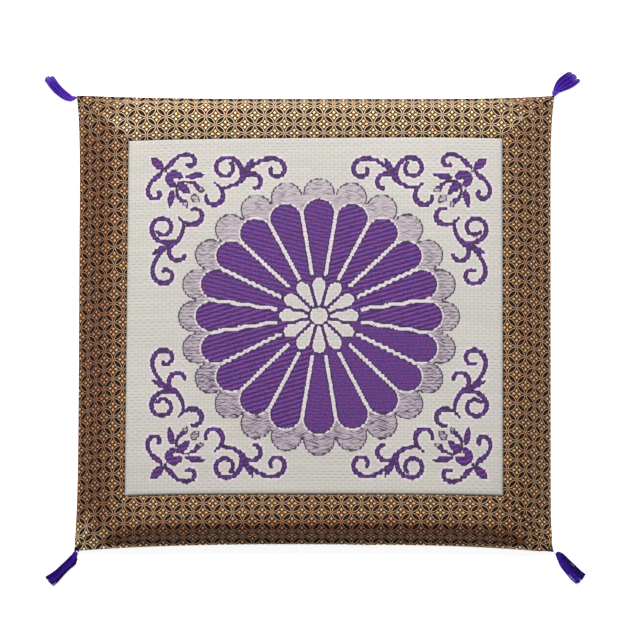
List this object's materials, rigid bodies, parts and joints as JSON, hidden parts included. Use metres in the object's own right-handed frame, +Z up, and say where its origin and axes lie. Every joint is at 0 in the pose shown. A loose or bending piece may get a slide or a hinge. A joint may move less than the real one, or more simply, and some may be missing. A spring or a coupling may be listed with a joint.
{
  "type": "zabuton floor cushion",
  "caption": "Square filled floor cushion with a woven rush face, a mitred brocade border and a silk tassel at each corner, lying flat on its plain back.",
  "frame": {"origin": "middle of the flat underside that lies on the floor", "axes": "+Z up through the face of the cushion, -Y towards the front edge, +X towards the right edge as seen from the front"},
  "size_m": [0.7892, 0.7969, 0.057],
  "materials": {
    "back_cloth": "plain dark violet cotton, closely woven, matt",
    "rush": "woven pale rush with violet figuring, dry sheen along the stems",
    "brocade": "brown, gold and black brocade with a linked-circle repeat, slight metallic thread sheen",
    "silk_thread": "violet twisted silk-like thread, soft sheen"
  },
  "bodies": {
    "root": {"cushion_body": "back_cloth", "rush_panel": "rush", "border_front": "brocade", "border_back": "brocade", "border_left": "brocade", "border_right": "brocade", "tassel_front_left": "silk_thread", "tassel_front_right": "silk_thread", "tassel_back_left": "silk_thread", "tassel_back_right": "silk_thread"}
  },
  "joints": []
}
